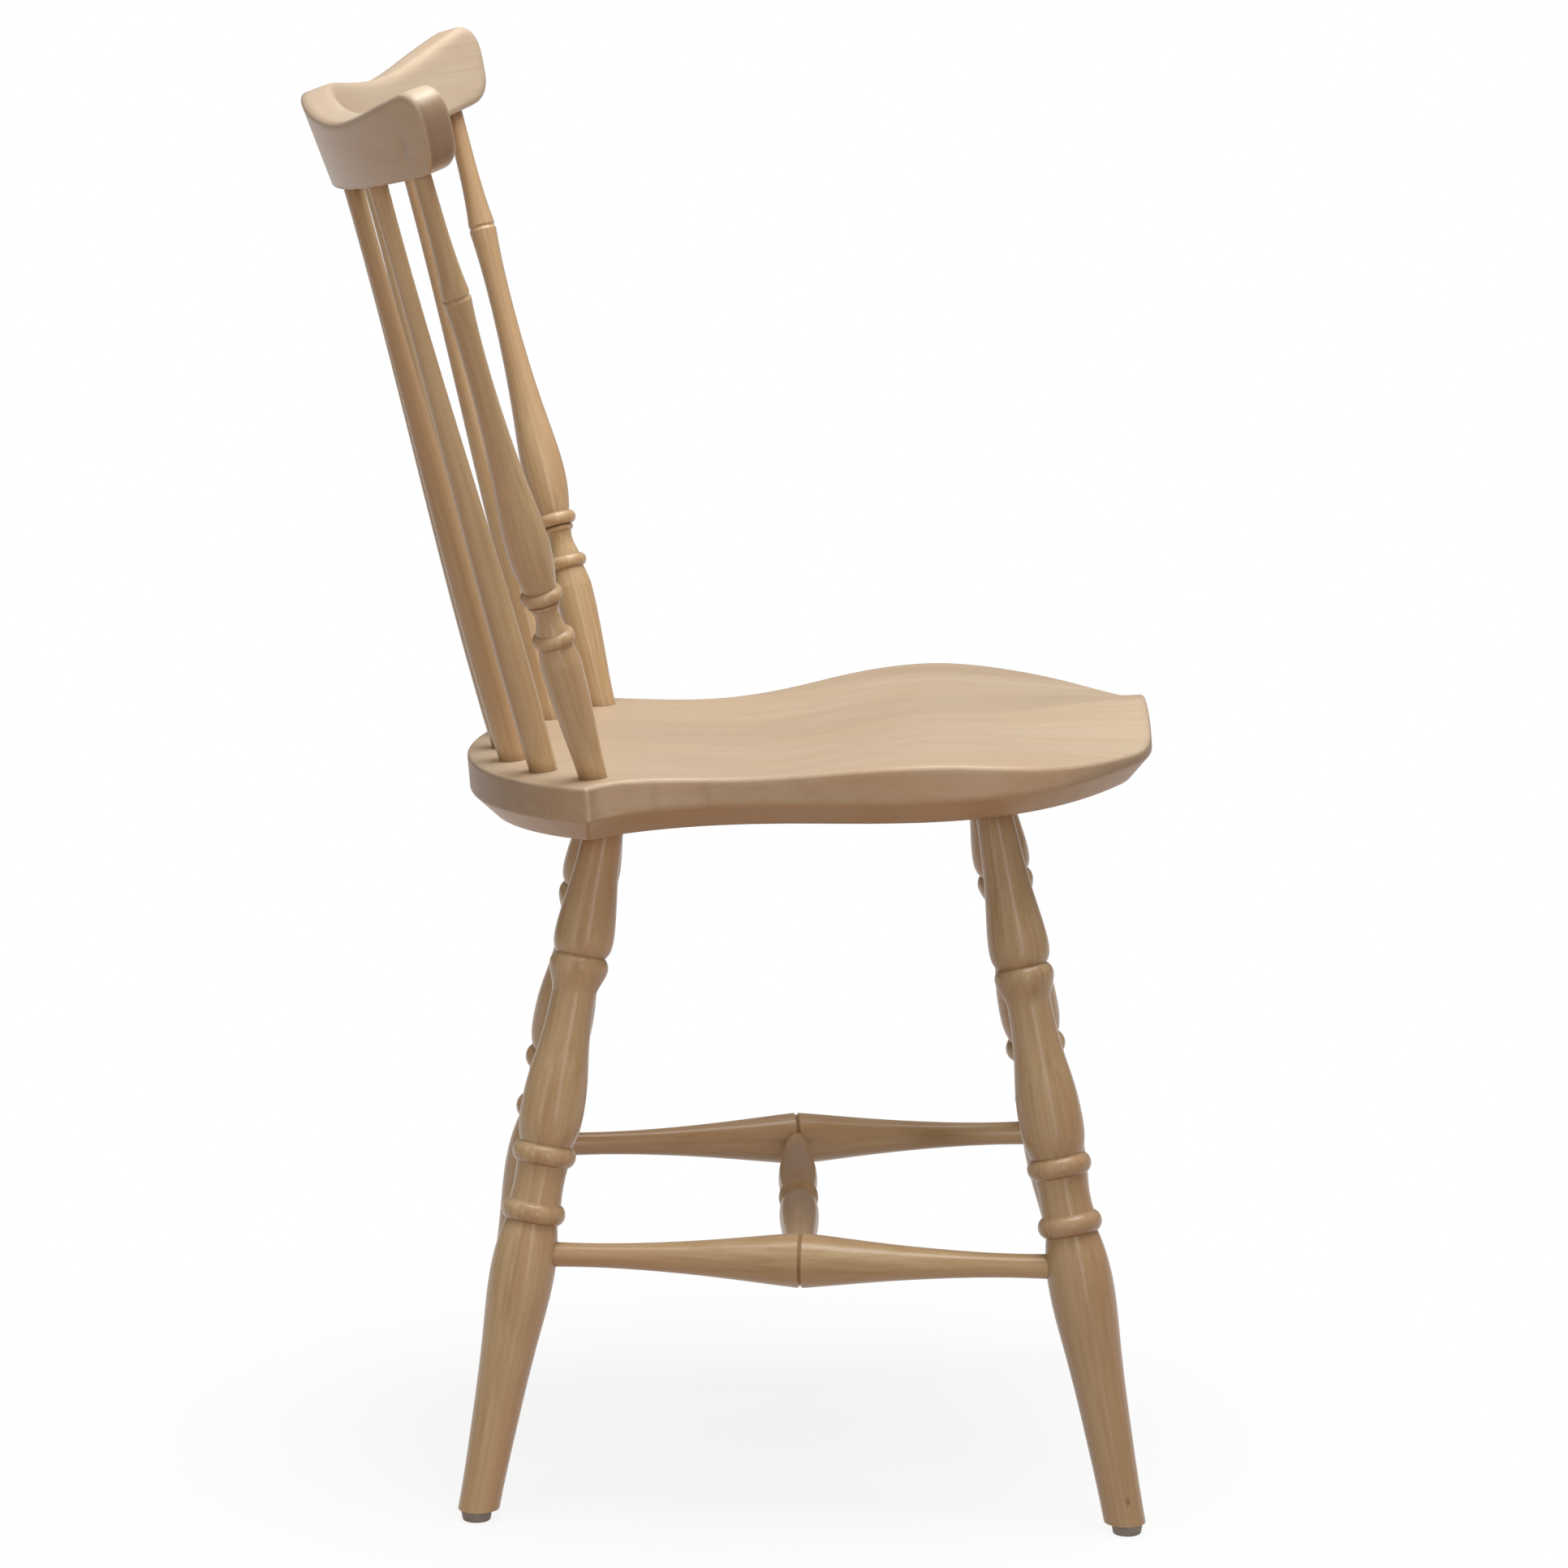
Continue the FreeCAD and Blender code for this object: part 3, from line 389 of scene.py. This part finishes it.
# paler than the seat's colours: a painted sheen, standing in for the light on the crest's top
crestColours = {
    "pale": linear(223, 205, 181),
    "dark": linear(204, 178, 148),
    "warm": linear(214, 181, 150),
    "deep": linear(124, 84, 50),
    "wornAndLit": linear(236, 219, 197),
}
crestLook = {
    "ringSpacing": 0.0038, "ringStrength": 0.03, "warp": 0.007, "toneRange": (0.26, 1.15),
    "endGrain": 0.62, "cloud": 0.5, "fleck": 0.14, "underShade": 0.7,
    "edgeLight": 0.4, "edgeRadius": 0.003, "crevice": 0.4, "creviceReach": 0.012,
    "roughness": 0.40, "bump": 0.00006, "lacquer": 0.35, "lacquerRoughness": 0.32,
    "sanded": 0.009, "sandedAxis": 2, "sandedRange": (0.820, 0.832),
    "pith": (0.42, 0.93), "seed": 7.7,
    "bendRadius": 0.370, "bendCentreY": -0.140,
}


def crestWood():
    material, coords = freshMaterial("plankBeech.crest")
    tree = material.node_tree
    parts = partsOf(tree, coords)
    behind = calc(tree, "SUBTRACT", parts[1], crestLook["bendCentreY"])
    angle = calc(tree, "ARCTAN2", parts[0], behind)
    squares = calc(tree, "MULTIPLY_ADD", behind, behind, calc(tree, "MULTIPLY", parts[0], parts[0]))
    along = calc(tree, "MULTIPLY", angle, crestLook["bendRadius"])
    grain = joined(tree, calc(tree, "SQRT", squares), parts[2], along)
    inward = calc(tree, "MULTIPLY", calc(tree, "SINE", angle), -1.0)
    grainAxis = joined(tree, calc(tree, "COSINE", angle), inward)
    finishWood(
        material, coords, grain, grainAxis, crestLook["pith"], crestLook["seed"], crestColours, crestLook)
    dress("crest_rail", material)


crestWood()
print("plank wood: seat and crest rail")


# Glides: warm grey moulded plastic with a fine pebbled grain, scuffed at the rim

glideLook = {
    "body": linear(176, 170, 163), "dark": linear(150, 143, 136), "scuffed": linear(204, 199, 193),
    "cloudScale": (70, 70, 70), "cloudRange": (0.35, 0.7),
    "pebbleScale": (2600, 2600, 2600), "bump": 0.00004, "bumpStrength": 0.6,
    "scratchScale": (900, 900, 5200), "scratchRange": (0.5, 0.7), "scratchHeight": 0.0035,
    "edgeRadius": 0.0012, "creviceReach": 0.004, "rimTint": 0.5,
    "roughness": 0.52, "rimRoughness": 0.2,
}


def glidePlastic():
    material, coords = freshMaterial("glidePlastic")
    tree = material.node_tree
    clouds = spread(tree, noise(tree, coords, glideLook["cloudScale"], 3.0, 0.6), *glideLook["cloudRange"])
    colour = blendColour(tree, clouds, glideLook["body"], glideLook["dark"])
    edgeAndCrevice = useGroup(tree, edgeWearSheenAndShade, {
        "Vector": coords, "Radius": glideLook["edgeRadius"], "Reach": glideLook["creviceReach"]})
    low = spread(tree, partsOf(tree, coords)[2], 0.0, glideLook["scratchHeight"], 1.0, 0.0)
    scratch = noise(tree, coords, glideLook["scratchScale"], 2.0, 0.7)
    scratch = calc(tree, "MULTIPLY", low, spread(tree, scratch, *glideLook["scratchRange"]))
    rim = calc(tree, "MAXIMUM", edgeAndCrevice["Edge"], scratch)
    scuff = calc(tree, "MULTIPLY", rim, glideLook["rimTint"])
    colour = blendColour(tree, scuff, colour, glideLook["scuffed"])
    gloss = calc(tree, "MULTIPLY_ADD", rim, glideLook["rimRoughness"], glideLook["roughness"])
    pebble = cells(tree, coords, glideLook["pebbleScale"])["Distance"]
    relief = {"Height": pebble, "Distance": glideLook["bump"], "Strength": glideLook["bumpStrength"]}
    shader = tree.nodes["Principled BSDF"]
    tree.links.new(colour, shader.inputs["Base Color"])
    tree.links.new(gloss, shader.inputs["Roughness"])
    tree.links.new(addNode(tree, "ShaderNodeBump", relief).outputs[0], shader.inputs["Normal"])
    return material


# Nails: plain steel, drawn lengthwise, a little stained

nailLook = {
    "bright": linear(176, 174, 172), "stained": linear(128, 122, 116), "wornAndLit": linear(214, 214, 214),
    "stainScale": (400, 400, 400), "stainRange": (0.4, 0.7),
    "drawnScale": (4000, 4000, 500), "drawnRange": (0.3, 0.7), "roughness": (0.28, 0.5),
    "edgeRadius": 0.0005, "creviceReach": 0.002, "edgeLight": 0.5, "bump": 0.00003, "bumpStrength": 0.5,
}


def nailSteel():
    material, coords = freshMaterial("nailSteel")
    tree = material.node_tree
    stain = spread(tree, noise(tree, coords, nailLook["stainScale"], 3.0, 0.6), *nailLook["stainRange"])
    colour = blendColour(tree, stain, nailLook["bright"], nailLook["stained"])
    edgeAndCrevice = useGroup(tree, edgeWearSheenAndShade, {
        "Vector": coords, "Radius": nailLook["edgeRadius"], "Reach": nailLook["creviceReach"]})
    edge = calc(tree, "MULTIPLY", edgeAndCrevice["Edge"], nailLook["edgeLight"])
    colour = blendColour(tree, edge, colour, nailLook["wornAndLit"])
    drawn = noise(tree, coords, nailLook["drawnScale"], 3.0, 0.6)
    gloss = spread(tree, drawn, *nailLook["drawnRange"], *nailLook["roughness"])
    relief = {"Height": drawn, "Distance": nailLook["bump"], "Strength": nailLook["bumpStrength"]}
    shader = tree.nodes["Principled BSDF"]
    shader.inputs["Metallic"].default_value = 1.0
    tree.links.new(colour, shader.inputs["Base Color"])
    tree.links.new(gloss, shader.inputs["Roughness"])
    tree.links.new(addNode(tree, "ShaderNodeBump", relief).outputs[0], shader.inputs["Normal"])
    return material


plastic = glidePlastic()
for nodeName in sorted(name for name in nodes if name.startswith("glide_") and name != "glide_nails"):
    dress(nodeName, plastic)
dress("glide_nails", nailSteel())
print("glides and nails dressed")


# Floor: a wide disc that fades into the white behind it

floorLook = {
    "radius": 9.0, "rings": 24, "steps": 96,
    "paper": linear(240, 240, 240), "bounce": linear(134, 98, 62), "roughness": 0.9, "shine": 0.1,
    "fade": (0.12, 0.52), "fadeLeast": 0.86,
}


def floorMesh():
    # a polar grid: radius grows with the square of the ring number, angle with the step number
    rings, steps = floorLook["rings"], floorLook["steps"]
    reach = floorLook["radius"] * (np.arange(1, rings + 1) / rings) ** 2
    turn = np.arange(steps) * math.tau / steps
    flat = np.zeros((rings, steps))
    points = np.stack([np.outer(reach, np.cos(turn)), np.outer(reach, np.sin(turn)), flat], axis=-1)
    points = np.vstack([[[0, 0, 0]], points.reshape(-1, 3)])
    ring, step = np.meshgrid(np.arange(rings - 1), np.arange(steps), indexing="ij")
    inner = 1 + ring * steps
    outer = inner + steps
    after = (step + 1) % steps
    quads = np.stack([inner + step, outer + step, outer + after, inner + after], axis=-1)
    first = np.arange(steps)
    fan = np.stack([np.zeros_like(first), first + 1, (first + 1) % steps + 1], axis=-1)
    mesh = bpy.data.meshes.new("floor")
    mesh.from_pydata(points.tolist(), [], fan.tolist() + quads.reshape(-1, 4).tolist())
    return mesh


def floorPaper():
    # the eye sees white paper, while the light that it throws up at the chair is warm
    material, coords = freshMaterial("paperFloor")
    tree = material.node_tree
    shader = tree.nodes["Principled BSDF"]
    shader.inputs["Roughness"].default_value = floorLook["roughness"]
    shader.inputs["Specular IOR Level"].default_value = floorLook["shine"]
    away = vectorCalc(tree, "LENGTH", coords)
    fade = spread(tree, away, *floorLook["fade"], floorLook["fadeLeast"], 1.0)
    rays = addNode(tree, "ShaderNodeLightPath").outputs
    seen = calc(tree, "MAXIMUM", rays["Is Glossy Ray"], rays["Is Transmission Ray"])
    seen = calc(tree, "MAXIMUM", rays["Is Camera Ray"], seen)
    colour = blendColour(tree, seen, floorLook["bounce"], floorLook["paper"])
    tree.links.new(colour, shader.inputs["Base Color"])
    white = addNode(tree, "ShaderNodeEmission", {"Color": (1, 1, 1, 1), "Strength": 1.0})
    inputs = {0: calc(tree, "MULTIPLY", fade, seen), 1: shader.outputs[0], 2: white.outputs[0]}
    mixed = addNode(tree, "ShaderNodeMixShader", inputs)
    tree.links.new(mixed.outputs[0], tree.nodes["Material Output"].inputs[0])
    return material


floor = bpy.data.objects.new("floor", floorMesh())
floor.data.materials.append(floorPaper())
bpy.context.scene.collection.objects.link(floor)


# World: white to the eye, a dim warm fill to the object

worldLook = {"fill": 0.30, "fillColour": (1.0, 0.91, 0.82, 1.0)}


def makeWorld():
    world = bpy.data.worlds.new("studio")
    world.use_nodes = True
    bpy.context.scene.world = world
    tree = world.node_tree
    rays = addNode(tree, "ShaderNodeLightPath").outputs
    seen = calc(tree, "MAXIMUM", rays["Is Camera Ray"], rays["Is Transmission Ray"])
    strength = calc(tree, "MULTIPLY_ADD", seen, 1.0 - worldLook["fill"], worldLook["fill"])
    colour = blendColour(tree, seen, worldLook["fillColour"], (1, 1, 1, 1))
    sky = tree.nodes["Background"]
    tree.links.new(strength, sky.inputs["Strength"])
    tree.links.new(colour, sky.inputs["Color"])


makeWorld()


# Lamps: a broad panel overhead towards the front, and two tall soft boxes on the camera's side

lampLook = {
    "overhead": {"at": (-0.2, -0.3, 3.2), "to": (0, 0, 0.4), "size": (2.0, 2.0), "power": 78},
    "tallFront": {"at": (-3.0, -0.75, 1.05), "to": (0, 0, 0.5), "size": (0.22, 2.1), "power": 13},
    "tallRear": {"at": (-2.4, 1.9, 1.2), "to": (0, 0, 0.5), "size": (0.5, 2.0), "power": 5},
}


def makeLamp(name, look):
    lamp = bpy.data.lights.new(name, "AREA")
    lamp.shape = "RECTANGLE"
    lamp.size, lamp.size_y = look["size"]
    lamp.energy = look["power"]
    made = bpy.data.objects.new(name, lamp)
    made.location = look["at"]
    made.visible_camera = False
    towards = Vector(look["to"]) - Vector(look["at"])
    made.rotation_euler = towards.to_track_quat("-Z", "Y").to_euler()
    bpy.context.scene.collection.objects.link(made)


for name, look in lampLook.items():
    makeLamp(name, look)
print("floor, world and lamps")


# Camera: a long lens square on to the chair's side, above the crest rail and looking a little down.
# Angles are in radians, and the focal length is in pixels of the square picture.

cameraLook = {
    "at": (-3.7981, -0.00764, 1.1746),
    "down": 0.19562, "aside": 0.006876, "roll": 0.00099,
    "focalPixels": 7727.8, "imagePixels": 1932, "sensor": 36.0,
}


def makeCamera():
    down, aside, roll = cameraLook["down"], cameraLook["aside"], cameraLook["roll"]
    level = math.cos(down)
    ahead = Vector((level * math.cos(aside), -level * math.sin(aside), -math.sin(down)))
    right = ahead.cross(Vector((0, 0, 1))).normalized()
    up = right.cross(ahead)
    rolledRight = right * math.cos(roll) + up * math.sin(roll)
    rolledUp = up * math.cos(roll) - right * math.sin(roll)
    lens = bpy.data.cameras.new("camera")
    lens.sensor_width = cameraLook["sensor"]
    lens.lens = cameraLook["focalPixels"] / cameraLook["imagePixels"] * cameraLook["sensor"]
    made = bpy.data.objects.new("camera", lens)
    turn = Matrix((rolledRight, rolledUp, -ahead)).transposed().to_4x4()
    made.matrix_world = Matrix.Translation(cameraLook["at"]) @ turn
    bpy.context.scene.collection.objects.link(made)
    bpy.context.scene.camera = made


makeCamera()
bpy.context.scene.view_settings.view_transform = "Standard"
print("camera set")
